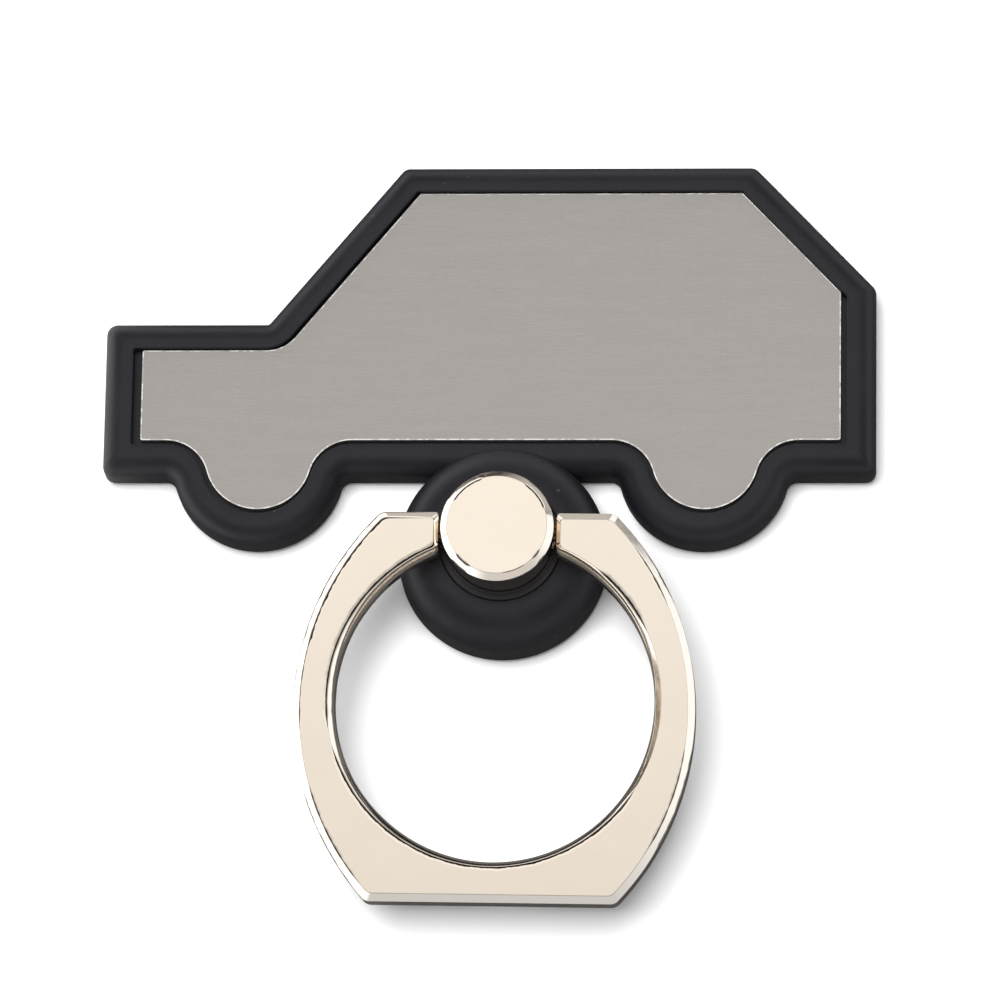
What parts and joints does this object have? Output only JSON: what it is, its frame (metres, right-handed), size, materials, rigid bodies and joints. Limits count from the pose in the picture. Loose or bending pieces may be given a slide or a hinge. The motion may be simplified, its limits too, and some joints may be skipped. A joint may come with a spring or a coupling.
{
  "type": "phone ring holder",
  "caption": "Car-shaped adhesive phone grip with a brushed inlay plate and a plated finger ring that swivels on a round boss and folds flat either way.",
  "frame": {"origin": "swivel axis of the ring's hub, at the adhesive back face", "axes": "+Z away from the phone, +Y towards the car's roof, -X towards the bonnet; the ring rests towards -Y"},
  "size_m": [0.054, 0.054, 0.0099],
  "materials": {
    "black_shell": "satin moulded",
    "brushed_inlay": "fine lengthwise brushed",
    "pale_gold_plate": "pale gold mirror plated",
    "steel_fittings": "turned steel",
    "acetal": "smooth acetal",
    "foam_tape": "acrylic foam",
    "liner_film": "siliconised liner"
  },
  "bodies": {
    "base": {"housing": "black_shell", "inlay_plate": "brushed_inlay", "plate_tape": "foam_tape", "boss_cover": "black_shell", "mounting_pad": "foam_tape", "release_liner": "liner_film", "swivel_bush": "acetal"},
    "swivel": {"hub": "pale_gold_plate", "swivel_post": "steel_fittings", "thrust_washer": "steel_fittings", "spring_washer": "steel_fittings", "retaining_clip": "steel_fittings", "drag_sleeve_left": "acetal", "drag_sleeve_right": "acetal"},
    "ring": {"finger_ring": "pale_gold_plate", "hinge_pin_left": "steel_fittings", "hinge_pin_right": "steel_fittings"}
  },
  "joints": [
    {"name": "swivel_turn", "type": "hinge", "parent": "base", "child": "swivel", "pos_m": [0, 0, 0.00785], "axis": [0, 0, 1], "continuous": true},
    {"name": "ring_tilt", "type": "hinge", "parent": "swivel", "child": "ring", "pos_m": [0, 0, 0.00785], "axis": [-0.9999, 0.0105, 0], "range_deg": [0, 190]}
  ]
}
